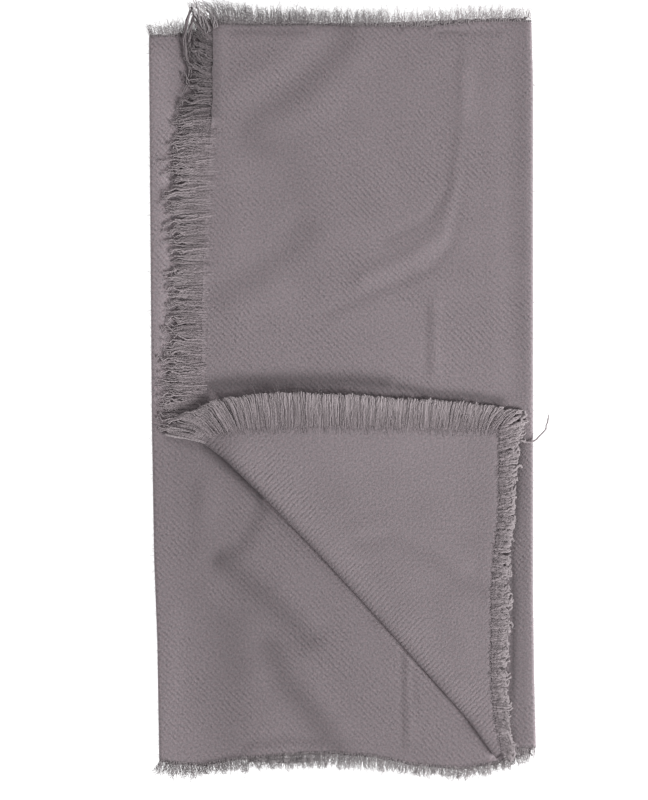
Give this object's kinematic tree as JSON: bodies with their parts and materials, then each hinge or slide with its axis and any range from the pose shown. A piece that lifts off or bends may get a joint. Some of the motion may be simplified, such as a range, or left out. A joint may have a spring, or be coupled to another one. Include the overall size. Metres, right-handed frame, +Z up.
{
  "type": "folded field scarf",
  "caption": "Woollen twill scarf folded zig-zag into a flat packet, frayed along its sides, with the lower corner of the top layer turned back.",
  "frame": {"origin": "centre of the packet's bounding box, on the surface it lies on", "axes": "+X runs across the folded packet from the fold on the left to the fold on the right, +Y runs along the packet, which is across the cloth, towards the end that the picture shows at the top, and +Z points up out of the surface that the scarf lies on"},
  "size_m": [0.3804, 0.739, 0.0278],
  "materials": {
    "wool_twill": "matt grey-mauve woollen twill with a soft nap",
    "wool_fringe": "frayed and crimped grey-mauve wool yarn"
  },
  "bodies": {
    "root": {"hidden_folds": "wool_twill", "second_stretch": "wool_twill", "top_stretch": "wool_twill", "turned_corner": "wool_twill", "end_fringe": "wool_fringe", "turned_end_fringe": "wool_fringe", "turned_side_fringe": "wool_fringe", "upper_fringe": "wool_fringe", "lower_fringe": "wool_fringe", "second_upper_fringe": "wool_fringe", "second_lower_fringe": "wool_fringe", "hidden_upper_fringe": "wool_fringe", "hidden_lower_fringe": "wool_fringe"}
  },
  "joints": []
}
